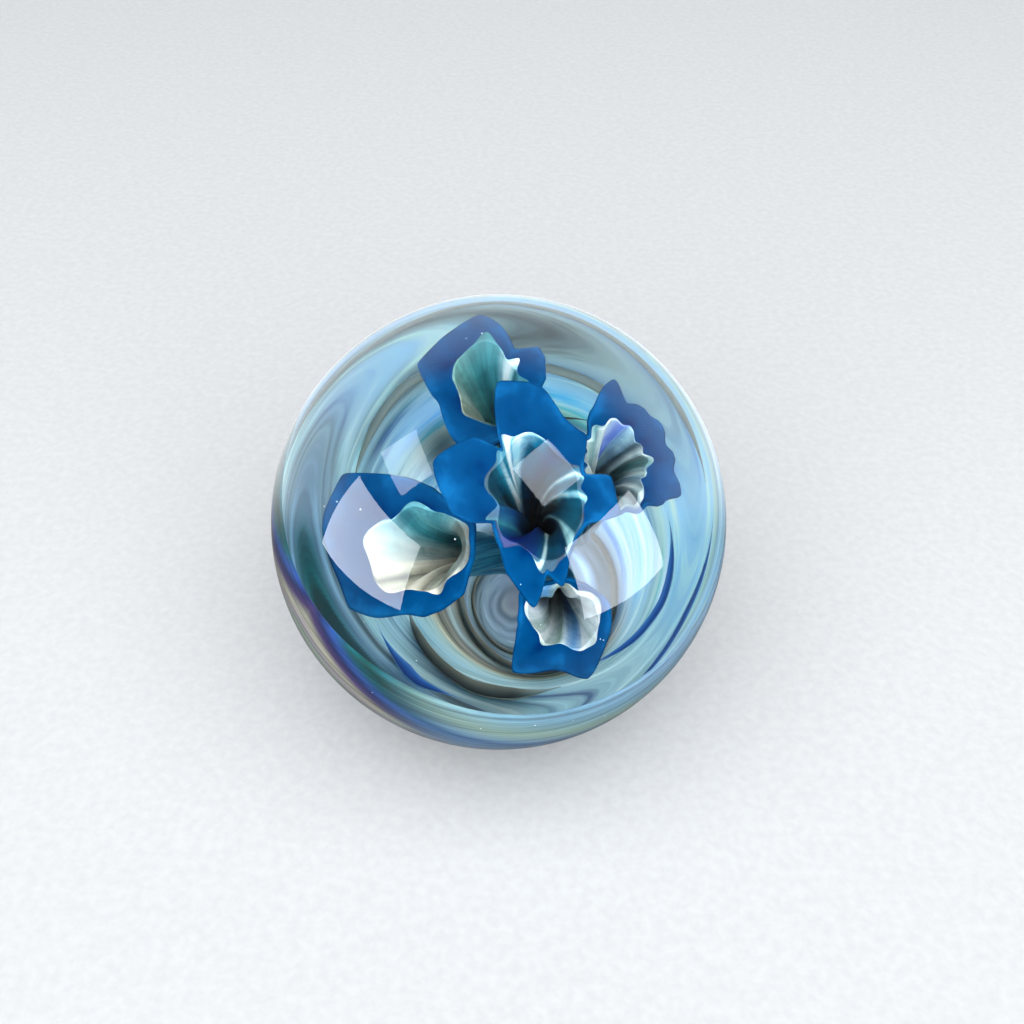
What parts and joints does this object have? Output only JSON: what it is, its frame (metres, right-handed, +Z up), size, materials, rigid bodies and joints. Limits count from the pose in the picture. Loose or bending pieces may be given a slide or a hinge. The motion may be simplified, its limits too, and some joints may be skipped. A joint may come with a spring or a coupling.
{
  "type": "glass marble",
  "caption": "Clear glass ball over a cupped backing of pulled colour swirls, with a bouquet of frilled blue trumpet flowers sealed inside.",
  "frame": {"origin": "centre of the ball", "axes": "+Z up as displayed, -Y towards the viewer, +X to the viewer's right; the flower's face looks up and leans towards -Y"},
  "size_m": [0.0508, 0.0508, 0.0508],
  "materials": {
    "clear_glass": "fire polished, clear",
    "swirl_glass": "opaque, pulled swirl of pale blue, sage and grey",
    "grey_thread_glass": "opaque pulled thread",
    "blue_thread_glass": "opaque pulled thread",
    "pearl_glass": "pearly, streaked with teal, grey and cream",
    "blue_lip_glass": "opaque, even blue"
  },
  "bodies": {
    "root": {"clear_body": "clear_glass", "swirl_backing": "swirl_glass", "dark_threads": "grey_thread_glass", "blue_thread": "blue_thread_glass", "top_throat": "pearl_glass", "top_lip": "blue_lip_glass", "right_throat": "pearl_glass", "right_lip": "blue_lip_glass", "left_throat": "pearl_glass", "left_lip": "blue_lip_glass", "bottom_throat": "pearl_glass", "bottom_lip": "blue_lip_glass", "centre_throat": "pearl_glass", "centre_lip": "blue_lip_glass"}
  },
  "joints": []
}
